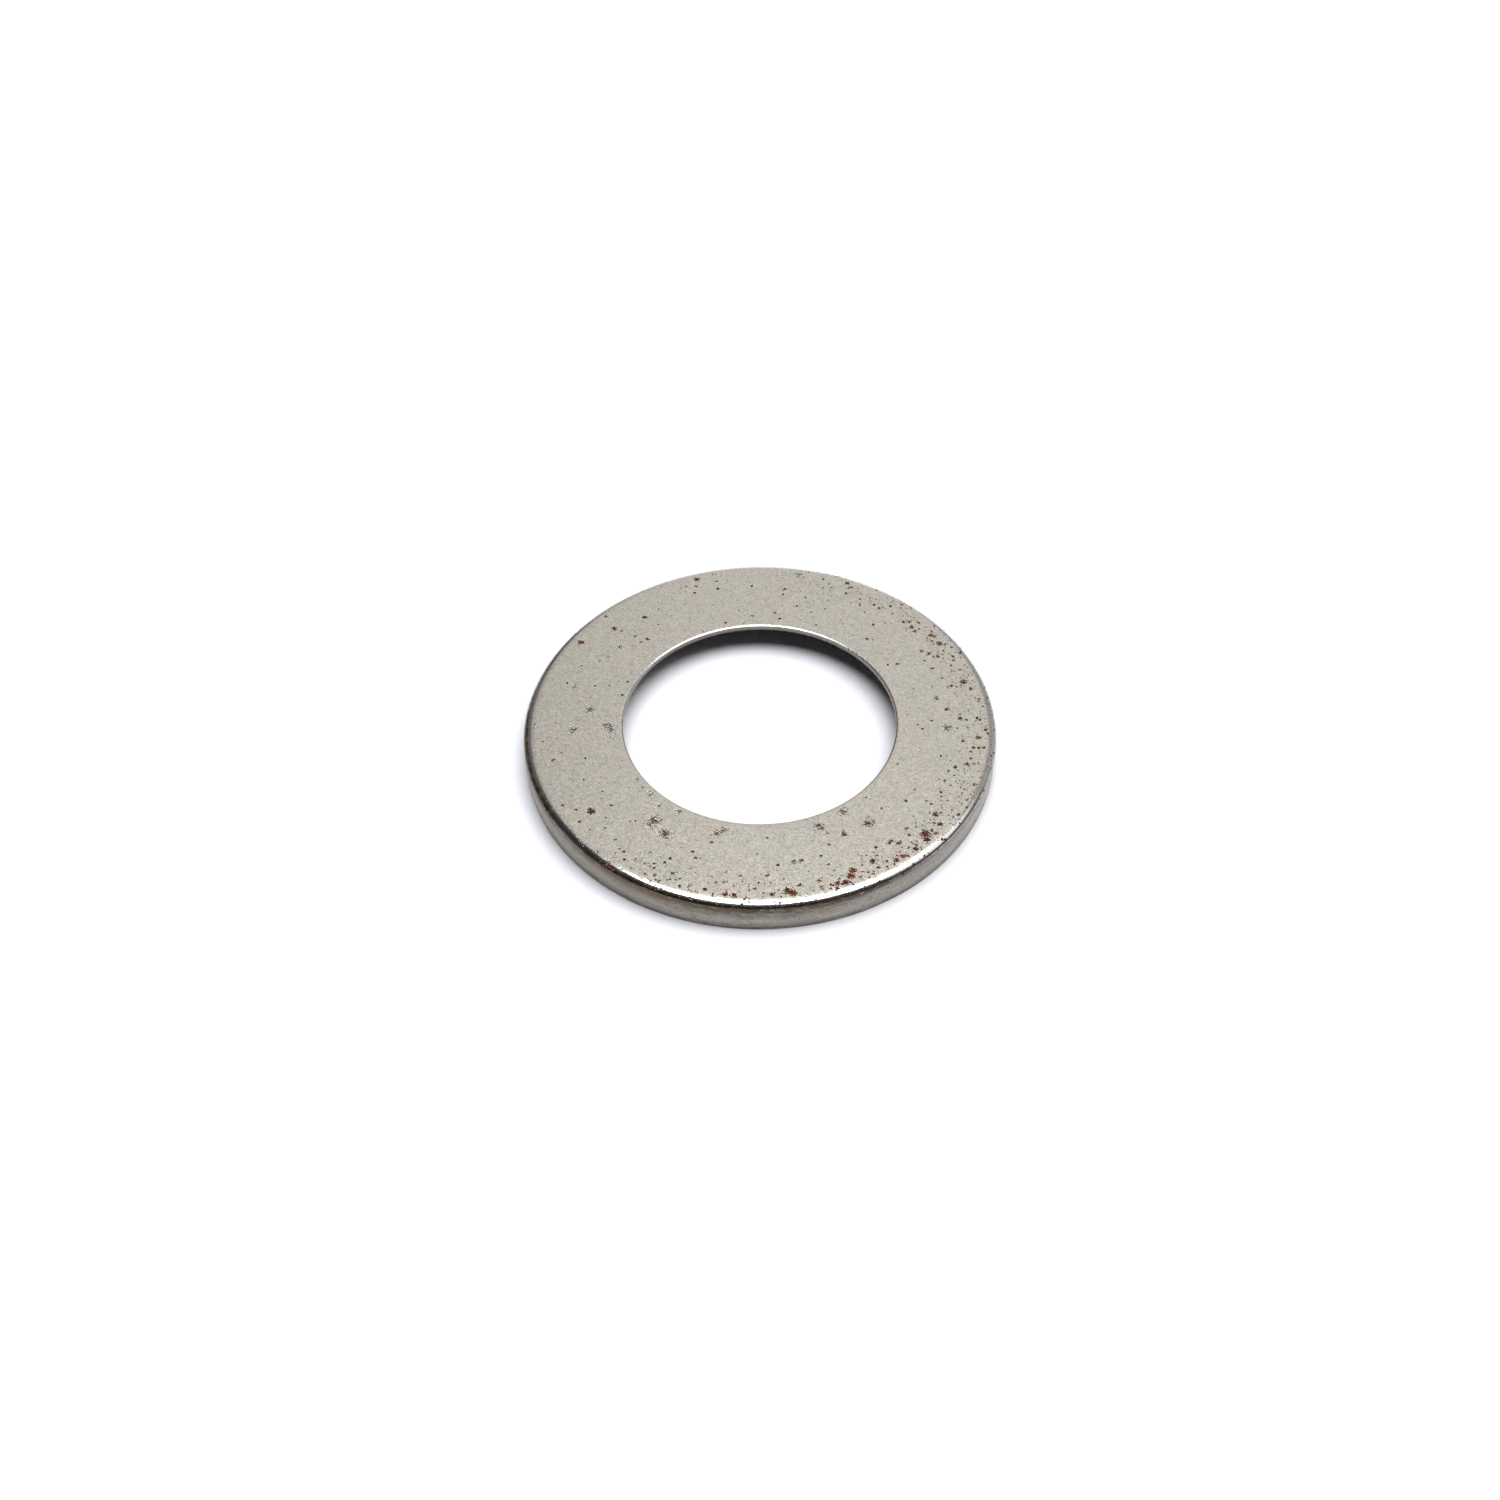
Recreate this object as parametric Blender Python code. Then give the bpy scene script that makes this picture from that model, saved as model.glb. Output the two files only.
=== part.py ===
"""Cup washer, pressed from one disc of thin sheet steel.

A flat ring-shaped web with a round bore, a rounded shoulder all the way round
its outer edge, and a short skirt turned down from the shoulder.  The skirt
stands on its lower edge and holds the web clear of what it covers.

Frame: metres, +Z along the bore's axis, from the open underside towards the
web.  The origin is on the axis, in the plane of the skirt's lower edge.
"""

import math

import bmesh
import bpy
from mathutils import Matrix, Vector

MM = 0.001

# ---- driving dimensions ------------------------------------------------------
OUTER_DIAMETER = 52.0 * MM
BORE_DIAMETER = 30.1 * MM
HEIGHT = 3.7 * MM  # from the skirt's lower edge to the top of the web
SHEET = 0.7 * MM  # gauge of the sheet steel
SHOULDER_RADIUS = 0.95 * MM  # outside of the bend between web and skirt
BORE_EDGE_RADIUS = 0.28 * MM  # punch side of the bore, drawn down by the punch
RIM_EDGE_RADIUS = 0.12 * MM  # both corners of the skirt's lower edge

SEGMENTS = 120  # steps round the axis
SHOULDER_STEPS = 6
BEND_STEPS = 2
BORE_EDGE_STEPS = 3
RIM_EDGE_STEPS = 2

STEEL_COLOUR = (0.46, 0.44, 0.40, 1.0)


def clear_scene():
    for obj in list(bpy.data.objects):
        bpy.data.objects.remove(obj, do_unlink=True)


def arc(centre_r, centre_z, radius, start_deg, end_deg, steps):
    """Points on an arc in the (radius, height) half-plane, ends included."""
    points = []
    for i in range(steps + 1):
        a = math.radians(start_deg + (end_deg - start_deg) * i / steps)
        points.append((centre_r + radius * math.cos(a), centre_z + radius * math.sin(a)))
    return points


def section():
    """The sheet's closed cross-section, from the bore's lower corner anticlockwise.

    Anticlockwise with the radius to the right and the height up: out along the
    underside, down inside the skirt, round its lower edge, up its outside, over
    the shoulder, in along the top of the web and down the bore.
    """
    outer = OUTER_DIAMETER / 2
    bore = BORE_DIAMETER / 2
    under = HEIGHT - SHEET
    inner_bend = SHOULDER_RADIUS - SHEET
    bend_r = outer - SHOULDER_RADIUS
    bend_z = HEIGHT - SHOULDER_RADIUS

    points = [(bore, under)]
    points += arc(bend_r, bend_z, inner_bend, 90, 0, BEND_STEPS)
    points += arc(outer - SHEET + RIM_EDGE_RADIUS, RIM_EDGE_RADIUS, RIM_EDGE_RADIUS, 180, 270, RIM_EDGE_STEPS)
    points += arc(outer - RIM_EDGE_RADIUS, RIM_EDGE_RADIUS, RIM_EDGE_RADIUS, 270, 360, RIM_EDGE_STEPS)
    points += arc(bend_r, bend_z, SHOULDER_RADIUS, 0, 90, SHOULDER_STEPS)
    points += arc(bore + BORE_EDGE_RADIUS, HEIGHT - BORE_EDGE_RADIUS, BORE_EDGE_RADIUS, 90, 180, BORE_EDGE_STEPS)
    return points


def steel_material(name):
    mat = bpy.data.materials.new(name)
    mat.use_nodes = True
    shader = mat.node_tree.nodes["Principled BSDF"]
    shader.inputs["Base Color"].default_value = STEEL_COLOUR
    shader.inputs["Metallic"].default_value = 1.0
    shader.inputs["Roughness"].default_value = 0.42
    return mat


def turned_ring(name, profile, segments):
    """Spins a closed profile a full turn round Z into a ring."""
    bm = bmesh.new()
    verts = [bm.verts.new((r, 0.0, z)) for r, z in profile]
    edges = [bm.edges.new((verts[i], verts[(i + 1) % len(verts)])) for i in range(len(verts))]
    bmesh.ops.spin(
        bm,
        geom=verts + edges,
        cent=Vector((0.0, 0.0, 0.0)),
        axis=Vector((0.0, 0.0, 1.0)),
        dvec=Vector((0.0, 0.0, 0.0)),
        angle=2.0 * math.pi,
        steps=segments,
        use_merge=True,
        use_normal_flip=False,
        use_duplicate=False,
    )
    bmesh.ops.remove_doubles(bm, verts=bm.verts, dist=1.0e-7)
    bmesh.ops.recalc_face_normals(bm, faces=bm.faces)
    mesh = bpy.data.meshes.new(name)
    bm.to_mesh(mesh)
    bm.free()
    mesh.shade_smooth()
    mesh.set_sharp_from_angle(angle=math.radians(35.0))
    return mesh


def build():
    clear_scene()
    mesh = turned_ring("cup_washer", section(), SEGMENTS)
    washer = bpy.data.objects.new("cup_washer", mesh)
    bpy.context.scene.collection.objects.link(washer)
    washer.matrix_world = Matrix.Identity(4)
    washer.data.materials.append(steel_material("washer_steel"))


build()
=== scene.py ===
"""Looks for the pressed steel cup washer: a fine mesh, its steel, and a plain white studio.

Object space is the CAD's: metres, +Z up the bore, origin at the skirt's lower edge.
"""

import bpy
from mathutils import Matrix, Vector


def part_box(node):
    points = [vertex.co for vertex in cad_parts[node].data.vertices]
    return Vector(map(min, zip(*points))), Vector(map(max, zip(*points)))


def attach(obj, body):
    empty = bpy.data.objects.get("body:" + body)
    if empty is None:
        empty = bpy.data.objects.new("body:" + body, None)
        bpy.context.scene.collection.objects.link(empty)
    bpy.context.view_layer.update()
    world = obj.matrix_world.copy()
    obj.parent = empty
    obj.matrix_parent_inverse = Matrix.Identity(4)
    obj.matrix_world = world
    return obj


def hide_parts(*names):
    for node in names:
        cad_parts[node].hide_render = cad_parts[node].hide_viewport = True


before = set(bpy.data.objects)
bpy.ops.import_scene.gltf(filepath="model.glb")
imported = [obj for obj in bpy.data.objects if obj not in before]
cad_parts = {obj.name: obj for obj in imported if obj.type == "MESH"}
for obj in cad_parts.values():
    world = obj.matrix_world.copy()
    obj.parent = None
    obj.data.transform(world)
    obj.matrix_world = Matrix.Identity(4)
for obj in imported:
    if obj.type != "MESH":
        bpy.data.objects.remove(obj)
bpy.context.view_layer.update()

import math

import bpy
import numpy as np
from mathutils import Matrix, Vector, noise

MM = 0.001
low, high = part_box("cup_washer")
OUTER_R = (high[0] - low[0]) / 2 / MM  # everything below is in mm until the mesh is made
HEIGHT = (high[2] - low[2]) / MM
BORE_R = 15.05
SHEET = 0.70
SHOULDER = 0.95
RIM = 0.12
STEPS = 700  # round the axis


# ---------------------------------------------------------------- section
def smooth(t):
    t = np.clip(t, 0.0, 1.0)
    return t * t * (3.0 - 2.0 * t)


def bend(curve, steps):
    """A bend from level to plumb, curve giving 1/radius at each arc length: (out, down, slope) per step."""
    ds = 0.002
    s, out, down, lean = 0.0, [0.0], [0.0], [0.0]
    while lean[-1] < math.pi / 2:
        a = lean[-1] + curve(s + ds / 2) * ds
        out.append(out[-1] + math.cos((a + lean[-1]) / 2) * ds)
        down.append(down[-1] + math.sin((a + lean[-1]) / 2) * ds)
        lean.append(a)
        s += ds
    k = np.arange(len(lean))
    pick = np.interp(np.linspace(0.0, math.pi / 2, steps + 1), lean, k)
    return np.interp(pick, k, out), np.interp(pick, k, down), np.interp(pick, k, lean)


def shoulder_curve(s):
    """The web starts to lean gently, then the sheet turns down tightly over the die's edge."""
    return 0.25 * float(smooth(s / 0.15)) + 0.57 * float(smooth((s - 0.22) / 0.25)) + 0.85 * float(smooth((s - 0.98) / 0.20))


def punch_curve(s):
    """The punch draws the bore's edge down softly, then a tight corner meets the burnished band."""
    return 2.0 * float(smooth(s / 0.12)) + 12.0 * float(smooth((s - 0.32) / 0.05))


def profile():
    """The closed section, clockwise: web out, shoulder, skirt down, rim, inside up, underside in, bore up.

    Each row is radius, height, then the weights of the zones it belongs to.
    """
    rows = []

    def put(r, z, zone, lean=0.0):
        rows.append((r, z, zone, lean))

    out, down, lean = bend(shoulder_curve, 20)
    flat_end = OUTER_R - out[-1]
    roll_out, roll_down, _ = bend(punch_curve, 9)
    roll_end = BORE_R + roll_out[-1] + 0.02
    for t in np.linspace(0.0, 1.0, 65)[:-1]:
        put(roll_end + t * (flat_end - roll_end), HEIGHT, "web")
    for o, d, a in zip(out, down, lean):
        put(flat_end + o, HEIGHT - d, "shoulder", a)
    top = HEIGHT - down[-1]
    for t in np.linspace(0.0, 1.0, 13)[1:-1]:
        put(OUTER_R, top + t * (RIM - top), "skirt")
    for a in np.linspace(0.0, 90.0, 5):
        a = math.radians(a)
        put(OUTER_R - RIM + RIM * math.cos(a), RIM - RIM * math.sin(a), "rim")
    put(OUTER_R - SHEET / 2, 0.0, "rim")
    for a in np.linspace(90.0, 180.0, 4):
        a = math.radians(a)
        put(OUTER_R - SHEET + RIM + RIM * math.cos(a), RIM - RIM * math.sin(a), "rim")
    inner = SHOULDER - SHEET
    for t in np.linspace(0.0, 1.0, 6)[1:-1]:
        put(OUTER_R - SHEET, RIM + t * (HEIGHT - SHOULDER - RIM), "inside")
    for a in np.linspace(0.0, 90.0, 5):
        a = math.radians(a)
        put(OUTER_R - SHOULDER + inner * math.cos(a), HEIGHT - SHOULDER + inner * math.sin(a), "inside")
    for t in np.linspace(0.0, 1.0, 10)[1:-1]:
        put(OUTER_R - SHOULDER + t * (BORE_R + 0.10 - OUTER_R + SHOULDER), HEIGHT - SHEET, "inside")
    # the pierced edge: a ragged break below, a burnished band above it, then the edge the punch drew down
    put(BORE_R + 0.085, HEIGHT - SHEET + 0.002, "cut")
    put(BORE_R + 0.060, HEIGHT - SHEET + 0.010, "cut")
    put(BORE_R + 0.042, HEIGHT - SHEET + 0.036, "cut")
    put(BORE_R + 0.026, HEIGHT - SHEET + 0.085, "cut")
    put(BORE_R + 0.016, HEIGHT - SHEET + 0.160, "cut")
    put(BORE_R + 0.003, HEIGHT - SHEET + 0.195, "band")
    put(BORE_R, HEIGHT - SHEET + 0.225, "band")
    put(BORE_R, HEIGHT - roll_down[-1] - 0.02, "band")
    for o, d in list(zip(roll_out, roll_down))[::-1]:
        put(BORE_R + roll_out[-1] - o, HEIGHT - d, "roll")
    return rows


def ring_noise(theta, radius, height, size, seed):
    """Smooth noise at points on the washer, with features about size mm across."""
    out = np.empty(theta.shape)
    x, y = radius * np.cos(theta) / size, radius * np.sin(theta) / size
    z = height / size + 17.3 * seed
    for i in np.ndindex(theta.shape):
        out[i] = noise.noise(Vector((x[i], y[i], z[i])))
    return out


# ---------------------------------------------------------------- blemishes, listed one by one
# azimuth in degrees (0 at +X, 90 at +Y), radius in mm, size in mm
RUST = [
    (128, 21.4, .30), (138, 22.4, .34), (148, 24.1, .42), (134, 18.3, .26), (137, 18.5, .20), (136, 19.7, .22),
    (136, 24.6, .22), (107, 24.4, .34), (108, 23.3, .22), (102, 22.1, .24), (152, 20.6, .16), (186, 22.4, .14),
    (194, 23.1, .24), (204, 20.7, .20), (216, 22.1, .52), (217, 23.9, .22), (210, 24.2, .22), (229, 16.4, .20),
    (249, 20.0, .20), (264, 22.1, .18), (241, 24.6, .22), (245, 24.8, .22), (250, 24.6, .24), (254, 24.9, .20),
    (256, 24.3, .26), (261, 24.6, .30), (263, 24.6, .34), (268, 23.6, .22), (272, 24.4, .26), (342, 23.3, .26),
    (340, 22.2, .24), (338, 21.7, .18), (322, 23.1, .34), (320, 24.2, .30), (317, 24.6, .22), (313, 22.0, .24),
    (315, 23.9, .58), (314, 24.4, .40), (307, 22.1, .26), (308, 22.8, .32), (310, 24.5, .34), (306, 24.4, .32),
    (304, 24.4, .30), (299, 23.2, .38), (293, 23.4, .44), (292, 23.9, .50), (290, 24.5, .42), (288, 24.3, .34),
    (284, 23.4, .28), (281, 20.5, .26), (287, 20.4, .18), (288, 21.7, .18), (271, 22.0, .20), (276, 24.1, .52),
    (277, 24.5, .46), (306, 18.8, .20), (297, 18.8, .22), (81, 21.6, .26), (64, 24.7, .28), (63, 24.0, .20),
    (48, 20.1, .18), (49, 23.9, .22), (51, 22.8, .22), (42, 22.9, .24), (41, 23.5, .22), (39, 24.1, .22),
    (39, 23.0, .28), (37, 22.8, .24), (33, 23.8, .28), (32, 24.0, .24), (29, 23.9, .36), (29, 21.4, .26),
    (27, 21.9, .24), (25, 22.6, .22), (23, 24.1, .22), (21, 21.1, .22), (16, 21.5, .18), (13, 23.6, .40),
    (10, 24.1, .26), (6, 24.6, .20), (3, 20.8, .26), (359, 22.1, .28), (359, 24.0, .24), (352, 24.0, .34),
    (354, 17.9, .18), (43, 18.2, .16), (291, 16.4, .14),
    (282, 24.5, .16), (284, 24.2, .18), (286, 24.7, .15), (289, 23.8, .16), (291, 24.8, .17), (294, 24.4, .20),
    (295, 23.9, .16), (297, 24.7, .18), (299, 24.2, .20), (301, 24.6, .22), (302, 24.0, .16), (303, 24.8, .18),
    (305, 24.0, .17), (307, 24.7, .20), (309, 23.9, .15), (311, 24.2, .18), (274, 24.8, .17), (270, 24.2, .15),
    (266, 24.8, .17), (258, 24.7, .18), (252, 24.4, .16), (247, 24.1, .16), (243, 24.3, .15), (279, 23.6, .15),
    (37, 23.4, .18), (34, 24.3, .17), (31, 23.4, .18), (28, 24.4, .18), (26, 23.6, .17), (20, 23.3, .17),
]
# patches of fine dark scratches and ground-in scale
SCUFF = [
    (232, 18.5, .95), (238, 19.2, .85), (182, 16.9, .72), (184, 16.5, .62), (174, 18.9, .62), (183, 20.5, .64),
    (143, 19.8, .30), (256, 16.3, .55), (254, 16.9, .48), (306, 18.8, .74), (302, 16.0, .60), (297, 18.6, .44),
    (291, 16.6, .70), (279, 20.5, .42), (237, 15.8, .36), (222, 15.9, .40), (165, 21.4, .34), (78, 24.5, .46),
    (355, 20.6, .50), (149, 20.0, .30), (247, 23.3, .36), (8, 19.9, .30),
]


def blob_field(x, y, marks):
    """Largest of the marks' cones at each point: 1 in a mark's middle, 0 two sizes away."""
    field = np.zeros(x.shape)
    for azimuth, radius, size in marks:
        a = math.radians(azimuth)
        d = np.hypot(x - radius * math.cos(a), y - radius * math.sin(a))
        field = np.maximum(field, np.clip(1.0 - d / (2.0 * size), 0.0, 1.0))
    return field


def sector(theta, centre_deg, half_deg, fade_deg):
    """1 within half_deg of an azimuth, fading to 0 over the next fade_deg."""
    d = np.abs((np.degrees(theta) - centre_deg + 180.0) % 360.0 - 180.0)
    return smooth(1.0 - (d - half_deg) / fade_deg)


# ---------------------------------------------------------------- the washer's mesh
def make_washer():
    rows = profile()
    n = len(rows)
    pr = np.array([row[0] for row in rows])
    pz = np.array([row[1] for row in rows])
    zone = [row[2] for row in rows]
    lean = np.array([row[3] for row in rows])
    theta = np.arange(STEPS) * 2.0 * math.pi / STEPS
    T = np.repeat(theta[:, None], n, 1)
    R = np.repeat(pr[None, :], STEPS, 0)
    Z = np.repeat(pz[None, :], STEPS, 0)

    # outward normal of the section at each row, for small moves of the surface
    dr = np.roll(pr, -1) - np.roll(pr, 1)
    dz = np.roll(pz, -1) - np.roll(pz, 1)
    length = np.hypot(dr, dz)
    nr, nz = -dz / length, dr / length

    top = np.array([1.0 if k == "web" else 0.0 for k in zone])[None, :]
    sh = np.array([1.0 if k == "shoulder" else 0.0 for k in zone])[None, :]
    skirt = np.array([1.0 if k == "skirt" else 0.0 for k in zone])[None, :]
    cut = np.array([1.0 if k == "cut" else 0.0 for k in zone])[None, :]

    x, y = R * np.cos(T), R * np.sin(T)
    rust = blob_field(x, y, RUST) * np.maximum(top, sh)
    scuff = blob_field(x, y, SCUFF) * top

    # the sheet is not dead flat, the skirt not dead round
    wave = ring_noise(T, R, Z * 0.0, 14.0, 1) * 0.012
    lip = ring_noise(T, R * 0.0 + 26.0, Z * 0.0, 9.0, 2) * 0.010
    dent = ring_noise(T, R, Z, 1.9, 3)
    dent = -np.clip(dent - 0.30, 0.0, 1.0) * 0.020
    move = dent * np.maximum(top, np.maximum(sh * 0.6, skirt * 0.7))
    move = move - smooth((rust - 0.50) / 0.35) * 0.014
    move = move - smooth((scuff - 0.55) / 0.35) * 0.004
    move = move + ring_noise(T, R, Z, 0.16, 4) * 0.016 * cut
    R = R + move * nr[None, :] + lip * smooth((HEIGHT - Z) / HEIGHT) * (R > BORE_R + 5.0)
    sheet_wave = wave * smooth((25.0 - R) / 2.0) * smooth((R - BORE_R) / 1.0 + 0.4)
    Z = Z + move * nz[None, :] + sheet_wave * (Z > HEIGHT - SHEET - 0.2)

    co = np.stack([R * np.cos(T), R * np.sin(T), np.maximum(Z, 0.0)], 2).reshape(-1, 3) * MM
    i = np.arange(STEPS)[:, None]
    j = np.arange(n)[None, :]
    i2, j2 = (i + 1) % STEPS, (j + 1) % n
    quads = np.stack([i * n + j, i * n + j2, i2 * n + j2, i2 * n + j], 2).reshape(-1, 4)

    mesh = bpy.data.meshes.new("washer_pressing")
    mesh.vertices.add(len(co))
    mesh.vertices.foreach_set("co", co.astype(np.float32).ravel())
    mesh.loops.add(quads.size)
    mesh.loops.foreach_set("vertex_index", quads.astype(np.int32).ravel())
    mesh.polygons.add(len(quads))
    mesh.polygons.foreach_set("loop_start", np.arange(len(quads), dtype=np.int32) * 4)
    mesh.update(calc_edges=True)
    mesh.validate()
    mesh.shade_smooth()

    def attribute(name, values):
        a = mesh.attributes.new(name, "FLOAT", "POINT")
        a.data.foreach_set("value", np.broadcast_to(values, (STEPS, n)).astype(np.float32).ravel())

    def per_row(test):
        return np.array([test(k, a) for k, a in zip(zone, lean)])[None, :]

    attribute("rust", rust)
    attribute("scuff", scuff)
    attribute("rubbed", per_row(lambda k, a: float(smooth((a - math.radians(3.0)) / math.radians(17.0))) if k == "shoulder" else 0.0))
    # dark bands over the bend and the skirt: brown scale the die dragged over the bend, with painted shade and
    # painted reflection of the dim room laid on it, worst on the left and the near side; on the skirt, painted shade
    # darker near its top and at its bottom edge
    on_skirt = np.interp(pz, (0.0, 0.12, 0.45, 0.85, 1.30, 1.60, 2.00, 2.35, 2.65, 3.00), (0.90, 0.55, 0.24, 0.08, 0.02, 0.14, 0.34, 0.50, 0.68, 0.95))
    low_down = np.array([1.0 if k == "rim" or zz < 1.0 else 0.0 for k, zz in zip(zone, pz)])[None, :]
    band = np.array([0.95 * float(smooth((a - math.radians(30)) / math.radians(16))) if k == "shoulder" else 0.0 for k, a in zip(zone, lean)])[None, :]
    left = np.array([0.95 * float(smooth((a - math.radians(12)) / math.radians(18))) if k == "shoulder" else 0.0 for k, a in zip(zone, lean)])[None, :]
    below = np.array([d if k in ("skirt", "rim") else 0.0 for k, d in zip(zone, on_skirt)])[None, :]
    below = below * np.maximum(low_down, 0.42 + 0.58 * sector(T, 262.0, 15.0, 24.0))
    attribute("scale_and_painted_shade", np.maximum(band * (0.40 + 0.60 * sector(T, 264.0, 26.0, 30.0)), left * sector(T, 193.0, 13.0, 20.0)) + below)
    film = np.array([float(smooth((a - math.radians(34)) / math.radians(30))) if k == "shoulder" else (float(smooth((zz - 2.0) / 1.0)) if k == "skirt" else 0.0)
                     for k, a, zz in zip(zone, lean, pz)])[None, :]
    attribute("stain", film * (0.18 + 0.62 * sector(T, 220.0, 24.0, 26.0)))
    attribute("wall", per_row(lambda k, a: 1.0 if k in ("skirt", "rim") else (float(smooth((a - math.radians(55)) / math.radians(30))) if k == "shoulder" else 0.0)))
    attribute("inside", per_row(lambda k, a: 1.0 if k == "inside" else 0.0))
    attribute("cut", per_row(lambda k, a: {"cut": 1.0, "band": 0.85}.get(k, 0.0)))
    # how thickly fine rust specks lie
    margin = smooth((R - 20.5) / 3.6) * np.maximum(top, sh)
    near = sector(T, 285.0, 42.0, 26.0)
    right = sector(T, 22.0, 42.0, 26.0)
    attribute("specks", np.clip(margin * (near * 1.0 + right * 0.80) + 0.15, 0.0, 1.0) * np.maximum(top, sh))

    obj = bpy.data.objects.new("washer_pressing", mesh)
    bpy.context.scene.collection.objects.link(obj)
    return obj


# ---------------------------------------------------------------- node helper
class Tree:
    def __init__(self, tree):
        self.tree = tree

    def node(self, kind, inputs=None, **props):
        n = self.tree.nodes.new(kind)
        for key, value in props.items():
            setattr(n, key, value)
        for key, value in (inputs or {}).items():
            self.feed(n.inputs[key], value)
        return n

    def feed(self, socket, value):
        if isinstance(value, bpy.types.NodeSocket):
            self.tree.links.new(value, socket)
        elif isinstance(value, (tuple, list)) and len(value) == 3 and socket.type == "RGBA":
            socket.default_value = (*value, 1.0)
        else:
            socket.default_value = value

    def math(self, op, a, b=0.0, c=0.0, clamp=False):
        n = self.node("ShaderNodeMath", operation=op, use_clamp=clamp)
        for i, value in enumerate((a, b, c)):
            self.feed(n.inputs[i], value)
        return n.outputs[0]

    def mul(self, a, b):
        return self.math("MULTIPLY", a, b)

    def add(self, a, b):
        return self.math("ADD", a, b)

    def step(self, value, low_edge, high_edge, to_low=0.0, to_high=1.0):
        n = self.node("ShaderNodeMapRange", interpolation_type="SMOOTHSTEP")
        for key, v in (("Value", value), ("From Min", low_edge), ("From Max", high_edge), ("To Min", to_low), ("To Max", to_high)):
            self.feed(n.inputs[key], v)
        return n.outputs["Result"]

    def mix(self, factor, a, b, blend="MIX"):
        n = self.node("ShaderNodeMix", data_type="RGBA", blend_type=blend)
        self.feed(n.inputs[0], factor)
        self.feed(n.inputs[6], a)
        self.feed(n.inputs[7], b)
        return n.outputs[2]

    def blend(self, factor, a, b):
        n = self.node("ShaderNodeMix", data_type="FLOAT")
        self.feed(n.inputs[0], factor)
        self.feed(n.inputs[2], a)
        self.feed(n.inputs[3], b)
        return n.outputs[0]

    def scale_vec(self, vec, xyz, shift=(0.0, 0.0, 0.0), turn=(0.0, 0.0, 0.0)):
        if any(turn):  # turned first, so that the stretch lies along the turned axes
            first = self.node("ShaderNodeMapping")
            self.feed(first.inputs["Vector"], vec)
            first.inputs["Rotation"].default_value = turn
            vec = first.outputs["Vector"]
        n = self.node("ShaderNodeMapping")
        self.feed(n.inputs["Vector"], vec)
        n.inputs["Scale"].default_value = xyz
        n.inputs["Location"].default_value = shift
        return n.outputs["Vector"]

    def noise(self, vec, scale, detail=2.0, rough=0.5, warp=0.0):
        n = self.node("ShaderNodeTexNoise", {"Vector": vec, "Scale": scale, "Detail": detail, "Roughness": rough, "Distortion": warp})
        return n.outputs["Fac"]

    def cells(self, vec, scale, feature="F1", randomness=1.0):
        return self.node("ShaderNodeTexVoronoi", {"Vector": vec, "Scale": scale, "Randomness": randomness}, feature=feature)

    def attribute(self, name):
        return self.node("ShaderNodeAttribute", attribute_name=name, attribute_type="GEOMETRY").outputs["Fac"]


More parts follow.
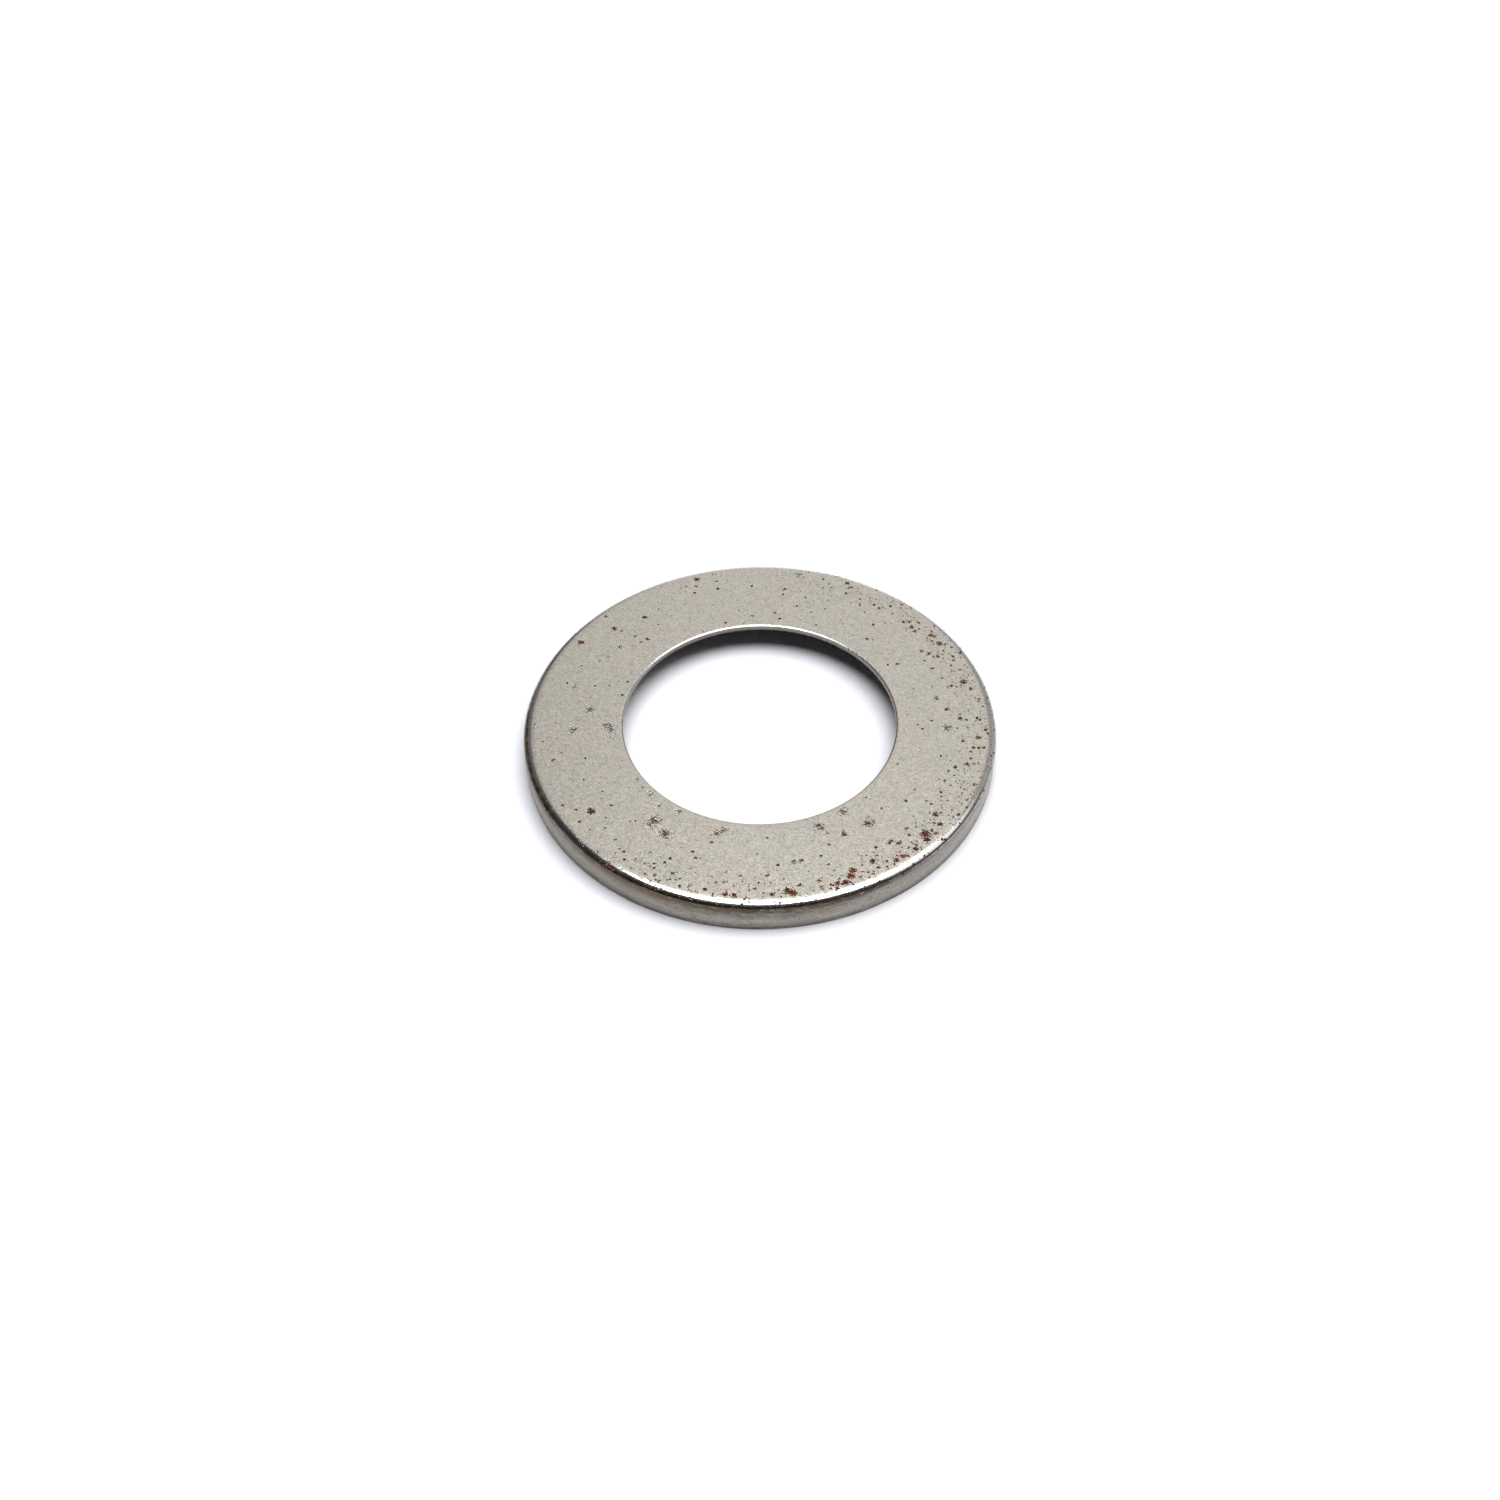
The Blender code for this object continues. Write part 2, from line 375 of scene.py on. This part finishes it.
# ---------------------------------------------------------------- bare tumbled steel
def steel():
    mat = bpy.data.materials.new("washer_steel")
    mat.use_nodes = True
    t = Tree(mat.node_tree)
    shader = mat.node_tree.nodes["Principled BSDF"]
    mm = t.scale_vec(t.node("ShaderNodeTexCoord").outputs["Object"], (1000.0, 1000.0, 1000.0))

    rust_at, scuff_at = t.attribute("rust"), t.attribute("scuff")
    rubbed, scale_and_painted_shade = t.attribute("rubbed"), t.attribute("scale_and_painted_shade")
    wall, inside, cut = t.attribute("wall"), t.attribute("inside"), t.attribute("cut")
    specks_at = t.attribute("specks")

    # grain of the tumbled sheet, three sizes
    grain = t.noise(mm, 4.2, 3.0, 0.62)
    coarse = t.noise(mm, 1.15, 2.0, 0.5)
    fine = t.noise(t.scale_vec(mm, (1, 1, 1), (31.0, 7.0, 3.0)), 9.5, 1.0, 0.5)
    grain_c = t.math("SUBTRACT", grain, 0.5)
    fine_c = t.math("SUBTRACT", fine, 0.5)

    # base colour: warm grey that drifts a little towards pink and towards green
    drift = t.noise(t.scale_vec(mm, (1, 1, 1), (5.0, 11.0, 2.0)), 0.42, 3.0, 0.6)
    web_colour = t.mix(t.step(drift, 0.38, 0.62), (0.548, 0.504, 0.448), (0.524, 0.512, 0.452))
    bright_colour = (0.66, 0.645, 0.62)
    wall_colour = (0.365, 0.345, 0.305)
    colour = t.mix(rubbed, web_colour, bright_colour)
    colour = t.mix(wall, colour, wall_colour)
    # the underside and inner wall: near black, far darker than the steel itself, as painted shade in the hollow under
    # the web
    colour = t.mix(inside, colour, (0.080, 0.077, 0.072))
    colour = t.mix(cut, colour, (0.150, 0.144, 0.134))

    # light and dark of the grain
    tone = t.add(1.0, t.add(t.mul(grain_c, 0.85), t.add(t.mul(fine_c, 0.80), t.mul(t.math("SUBTRACT", coarse, 0.5), 0.12))))
    tone = t.blend(t.mul(rubbed, 0.55), tone, 1.0)
    grey = t.node("ShaderNodeCombineColor")
    for k in range(3):
        t.feed(grey.inputs[k], tone)
    colour = t.mix(1.0, colour, grey.outputs[0], "MULTIPLY")

    # dark flecks between the grains, short and mostly lying one way
    lie = t.noise(t.scale_vec(mm, (2.1, 4.6, 2.0), (7.0, 1.0, 3.0), (0, 0, 0.62)), 1.0, 2.0, 0.6)
    fleck = t.mul(t.step(t.add(t.mul(lie, 0.72), t.mul(fine, 0.28)), 0.565, 0.655), t.blend(rubbed, 0.44, 0.14))
    colour = t.mix(fleck, colour, (0.15, 0.13, 0.11))

    # drawn streaks that run round the skirt
    streak = t.noise(t.scale_vec(mm, (0.30, 0.30, 7.5), (3.0, 1.0, 9.0)), 1.0, 3.0, 0.6)
    fine_streak = t.noise(t.scale_vec(mm, (0.8, 0.8, 22.0), (1.0, 8.0, 4.0)), 1.0, 2.0, 0.6)
    streak_dark = t.mul(wall, t.step(t.add(t.mul(streak, 0.7), t.mul(fine_streak, 0.3)), 0.44, 0.64, 0.0, 0.62))
    colour = t.mix(streak_dark, colour, (0.16, 0.135, 0.11))

    # scale dragged over the bend, with painted shade and painted reflection laid over the bend and the skirt
    torn = t.math("SUBTRACT", t.noise(t.scale_vec(mm, (1.1, 1.1, 4.0)), 1.0, 4.0, 0.68), 0.5)
    scale_and_painted_shade_mask = t.math("MULTIPLY", scale_and_painted_shade, t.add(1.0, t.add(t.mul(torn, 2.6), t.mul(fine_c, 1.6))), clamp=True)
    scale_and_painted_shade_mask = t.math("MINIMUM", scale_and_painted_shade_mask, 0.94)
    scale_and_shade_tint = t.noise(t.scale_vec(mm, (1, 1, 1), (4.0, 2.0, 7.0)), 0.35, 2.0)
    colour = t.mix(scale_and_painted_shade_mask, colour, t.mix(t.step(scale_and_shade_tint, 0.40, 0.60), (0.044, 0.034, 0.024), (0.068, 0.041, 0.022)))

    # a brown film the drawing oil left over the left of the bend
    colour = t.mix(t.mul(t.attribute("stain"), t.add(0.75, t.mul(torn, 1.6))), colour, (0.150, 0.100, 0.058))

    # fine light scratches, in three directions
    scratch = None
    for k, (turn, long_scale, across) in enumerate(((0.35, 0.30, 9.0), (1.45, 0.26, 10.0), (2.55, 0.34, 8.0))):
        lane = t.noise(t.scale_vec(mm, (long_scale, across, 1.0), (k * 13.0, k * 5.0, 0.0), (0.0, 0.0, turn)), 1.0, 1.0, 0.5)
        line = t.step(t.math("ABSOLUTE", t.math("SUBTRACT", lane, 0.5)), 0.0, 0.010, 1.0, 0.0)
        gate = t.step(t.noise(t.scale_vec(mm, (1, 1, 1), (k * 21.0, 4.0, 8.0)), 0.50, 1.0), 0.60, 0.68)
        line = t.mul(line, gate)
        scratch = line if scratch is None else t.math("MAXIMUM", scratch, line)
    web_only = t.mul(t.math("SUBTRACT", 1.0, wall), t.math("SUBTRACT", 1.0, inside))
    scratch = t.mul(scratch, web_only)
    colour = t.mix(t.mul(scratch, 0.30), colour, (0.86, 0.84, 0.80))

    # painted glints: single facets given a near-white colour as painted sparkle
    facet = t.cells(mm, 3.6)
    painted_glint = t.mul(t.step(facet.outputs["Distance"], 0.10, 0.20, 1.0, 0.0),
                  t.step(t.node("ShaderNodeSeparateColor", {"Color": facet.outputs["Color"]}).outputs[0], 0.90, 0.93))
    colour = t.mix(t.mul(t.mul(painted_glint, web_only), 0.55), colour, (0.92, 0.91, 0.88))

    # specks of rust scattered by zone, ragged
    seeds = t.cells(t.mix(0.10, mm, t.node("ShaderNodeTexNoise", {"Vector": mm, "Scale": 5.0, "Detail": 2.0}).outputs["Color"], "ADD"), 1.9)
    rnd = t.node("ShaderNodeSeparateColor", {"Color": seeds.outputs["Color"]})
    chance = t.math("LESS_THAN", rnd.outputs[0], t.mul(specks_at, 0.60))
    size = t.add(0.10, t.mul(t.mul(rnd.outputs[1], rnd.outputs[1]), 0.30))
    speck = t.mul(t.math("LESS_THAN", t.add(seeds.outputs["Distance"], t.mul(fine_c, 0.70)), size), chance)
    speck = t.mul(speck, web_only)

    small = t.cells(t.scale_vec(mm, (1, 1, 1), (6.0, 2.0, 1.0)), 3.1)
    small_rnd = t.node("ShaderNodeSeparateColor", {"Color": small.outputs["Color"]})
    small_speck = t.mul(t.math("LESS_THAN", t.add(small.outputs["Distance"], t.mul(fine_c, 1.1)), t.add(0.10, t.mul(small_rnd.outputs[1], 0.22))),
                        t.math("LESS_THAN", small_rnd.outputs[0], t.mul(t.step(specks_at, 0.12, 1.10), 0.42)))
    speck = t.math("MAXIMUM", speck, t.mul(small_speck, web_only))

    # the larger marks, torn at their edges by noise
    tear = t.noise(t.scale_vec(mm, (1, 1, 1), (2.0, 6.0, 1.0)), 5.5, 3.0, 0.65)
    spot = t.step(t.add(rust_at, t.mul(t.math("SUBTRACT", tear, 0.5), 1.8)), 0.50, 0.58)
    spot = t.mul(spot, t.math("GREATER_THAN", rust_at, 0.02))
    hatch = t.math("MAXIMUM", t.noise(t.scale_vec(mm, (2.4, 7.0, 2.0), (0, 0, 0), (0, 0, 0.70)), 1.0, 3.0, 0.7),
                   t.noise(t.scale_vec(mm, (2.8, 7.0, 2.0), (3.0, 0, 0), (0, 0, -0.55)), 1.0, 3.0, 0.7))
    smear = t.step(t.add(t.mul(scuff_at, 0.85), t.mul(t.math("SUBTRACT", hatch, 0.56), 2.8)), 0.47, 0.57)
    smear = t.mul(t.mul(smear, t.step(scuff_at, 0.02, 0.16)), 0.95)

    red = t.noise(t.scale_vec(mm, (1, 1, 1), (9.0, 3.0, 5.0)), 0.8, 2.0, 0.6)
    rust_colour = t.mix(t.step(red, 0.40, 0.62), (0.042, 0.019, 0.013), (0.120, 0.033, 0.015))
    colour = t.mix(smear, colour, (0.046, 0.033, 0.027))
    corroded = t.math("MAXIMUM", spot, speck)
    colour = t.mix(corroded, colour, rust_colour)

    # dark pin-holes in the skirt and the inside
    pin = t.cells(t.scale_vec(mm, (1, 1, 1.4), (4.0, 4.0, 4.0)), 2.3)
    pin_rnd = t.node("ShaderNodeSeparateColor", {"Color": pin.outputs["Color"]})
    pinhole = t.mul(t.math("LESS_THAN", t.add(pin.outputs["Distance"], t.mul(fine_c, 0.4)), t.mul(pin_rnd.outputs[1], 0.30)), t.math("LESS_THAN", pin_rnd.outputs[0], 0.52))
    pinhole = t.mul(pinhole, t.math("MAXIMUM", t.mul(wall, 0.75), t.mul(inside, 0.6)))
    colour = t.mix(pinhole, colour, (0.06, 0.05, 0.042))

    t.feed(shader.inputs["Base Color"], colour)

    dirt = t.math("MAXIMUM", corroded, t.math("MAXIMUM", t.mul(smear, 0.7), t.mul(pinhole, 0.8)))
    t.feed(shader.inputs["Metallic"], t.math("SUBTRACT", 1.0, t.mul(dirt, 0.75)))

    t.feed(shader.inputs["Specular IOR Level"], t.blend(dirt, 0.5, 0.12))

    rough = t.add(0.225, t.mul(grain_c, 0.12))
    rough = t.blend(rubbed, rough, t.add(0.155, t.mul(grain_c, 0.12)))
    rough = t.blend(wall, rough, t.add(0.33, t.mul(t.math("SUBTRACT", streak, 0.5), 0.25)))
    rough = t.blend(inside, rough, 0.48)
    rough = t.blend(cut, rough, 0.42)
    rough = t.blend(t.mul(scale_and_painted_shade_mask, 0.6), rough, 0.42)
    rough = t.blend(dirt, rough, 0.78)
    t.feed(shader.inputs["Roughness"], rough)

    # relief: grain, fine pitting, streaks round the skirt, scratches cut in, rust sunk in
    relief = t.add(t.mul(grain_c, 1.0), t.mul(fine_c, 0.45))
    relief = t.blend(t.mul(rubbed, 0.30), relief, 0.0)
    relief = t.add(relief, t.mul(wall, t.mul(t.math("SUBTRACT", fine_streak, 0.5), 0.8)))
    relief = t.add(relief, t.mul(scratch, -0.3))
    relief = t.add(relief, t.mul(dirt, -1.1))
    bump = t.node("ShaderNodeBump", {"Strength": 1.0, "Distance": 0.0000052, "Height": relief})
    t.feed(shader.inputs["Normal"], bump.outputs["Normal"])
    return mat


# ---------------------------------------------------------------- studio
def make_floor():
    bpy.ops.mesh.primitive_circle_add(vertices=96, radius=0.42, fill_type="NGON", location=(0, 0, 0))
    floor = bpy.context.active_object
    floor.name = "studio_floor"
    mat = bpy.data.materials.new("white_sweep")
    mat.use_nodes = True
    t = Tree(mat.node_tree)
    shader = mat.node_tree.nodes["Principled BSDF"]
    shader.inputs["Base Color"].default_value = (0.890, 0.898, 0.945, 1.0)
    shader.inputs["Roughness"].default_value = 0.9
    shader.inputs["Specular IOR Level"].default_value = 0.1
    far = t.node("ShaderNodeVectorMath", operation="LENGTH")
    t.feed(far.inputs[0], t.node("ShaderNodeTexCoord").outputs["Object"])
    shader.inputs["Emission Color"].default_value = (1.0, 1.0, 1.0, 1.0)
    t.feed(shader.inputs["Emission Strength"], t.step(far.outputs["Value"], 0.045, 0.20, 0.0, 1.0))
    floor.data.materials.append(mat)
    return floor


def aim(obj, target):
    direction = Vector(target) - obj.location
    obj.rotation_euler = direction.to_track_quat("-Z", "Y").to_euler()


def area(name, location, target, size_x, size_y, power, colour=(1, 1, 1)):
    light = bpy.data.lights.new(name, "AREA")
    light.shape = "ELLIPSE"
    light.size, light.size_y = size_x, size_y
    light.energy = power
    light.color = colour
    obj = bpy.data.objects.new(name, light)
    bpy.context.scene.collection.objects.link(obj)
    obj.location = location
    aim(obj, target)
    return obj


def make_world():
    """A dim room round the light: bright cards behind, a weaker one to the right, white to the eye."""
    world = bpy.data.worlds.new("studio")
    bpy.context.scene.world = world
    world.use_nodes = True
    tree = world.node_tree
    tree.nodes.clear()
    t = Tree(tree)
    direction = t.node("ShaderNodeTexCoord").outputs["Generated"]
    xyz = t.node("ShaderNodeSeparateXYZ", {"Vector": direction})

    def lobe(vector, start, full, strength):
        v = Vector(vector).normalized()
        n = t.node("ShaderNodeVectorMath", operation="DOT_PRODUCT")
        t.feed(n.inputs[0], direction)
        n.inputs[1].default_value = v
        return t.step(n.outputs["Value"], math.cos(math.radians(start)), math.cos(math.radians(full)), 0.0, strength)

    # the wall behind the washer: full straight behind, dying away to the left, half as bright to the right
    wall = t.mul(t.step(xyz.outputs["X"], -0.46, -0.04, 0.0, 0.89), t.step(xyz.outputs["Y"], 0.10, 0.50))
    wall = t.mul(wall, t.step(xyz.outputs["X"], 0.18, 0.45, 1.0, 0.42))
    level = t.add(0.028, t.mul(wall, t.math("GREATER_THAN", xyz.outputs["Z"], 0.0)))
    level = t.add(level, lobe((0.66, 0.04, 0.75), 22.0, 8.0, 1.25))
    level = t.add(level, lobe((0.97, 0.10, 0.12), 48.0, 15.0, 0.12))
    # faint cards that only the other sides see
    level = t.add(level, lobe((-0.68, 0.60, 0.40), 26.0, 8.0, 0.24))
    level = t.add(level, lobe((0.68, -0.68, 0.26), 26.0, 8.0, 0.20))
    level = t.add(level, lobe((-1.00, 0.00, 0.06), 30.0, 12.0, 0.24))
    level = t.add(level, t.step(xyz.outputs["Z"], -0.05, -0.30, 0.0, 0.8))
    room = t.node("ShaderNodeBackground", {"Color": (1.0, 0.995, 0.985), "Strength": level})
    seen = t.node("ShaderNodeBackground", {"Color": (1.0, 1.0, 1.0), "Strength": 1.3})
    pick = t.node("ShaderNodeMixShader", {0: t.node("ShaderNodeLightPath").outputs["Is Camera Ray"], 1: room.outputs[0], 2: seen.outputs[0]})
    out = t.node("ShaderNodeOutputWorld")
    tree.links.new(pick.outputs[0], out.inputs["Surface"])


def make_camera():
    """The view from the near side, 47 degrees up, from about 190 mm away."""
    focal_px, elevation, roll = 1681.65, math.radians(47.243), math.radians(0.952)
    shift = Vector((0.04222, 0.03425, -7.23592)) * (OUTER_R * MM)
    # the object's axes as the camera sees them: x right, y up, z towards the eye
    seen_x = Vector((1.0, 0.0, 0.0))
    seen_y = Vector((0.0, math.sin(elevation), -math.cos(elevation)))
    seen_z = Vector((0.0, math.cos(elevation), math.sin(elevation)))
    to_camera = Matrix((seen_x, seen_y, seen_z)).transposed()
    spin = Matrix.Rotation(roll, 3, "Z")
    to_camera = spin @ to_camera
    cam = bpy.data.cameras.new("photo_view")
    cam.sensor_width = 36.0
    cam.sensor_fit = "HORIZONTAL"
    cam.lens = 36.0 * focal_px / 1500.0
    cam.clip_start = 0.005
    cam.clip_end = 10.0
    obj = bpy.data.objects.new("photo_view", cam)
    bpy.context.scene.collection.objects.link(obj)
    turn = to_camera.transposed()
    obj.matrix_world = Matrix.Translation(-(turn @ shift)) @ turn.to_4x4()
    bpy.context.scene.camera = obj


washer = make_washer()
washer.data.materials.append(steel())
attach(washer, "root")
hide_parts("cup_washer")

make_floor()
make_world()
area("softbox", (0.065, 0.025, 0.60), (0.065, 0.025, 0.0), 0.65, 0.47, 4.6)
make_camera()
bpy.context.scene.view_settings.view_transform = "Standard"
bpy.context.scene.view_settings.look = "None"
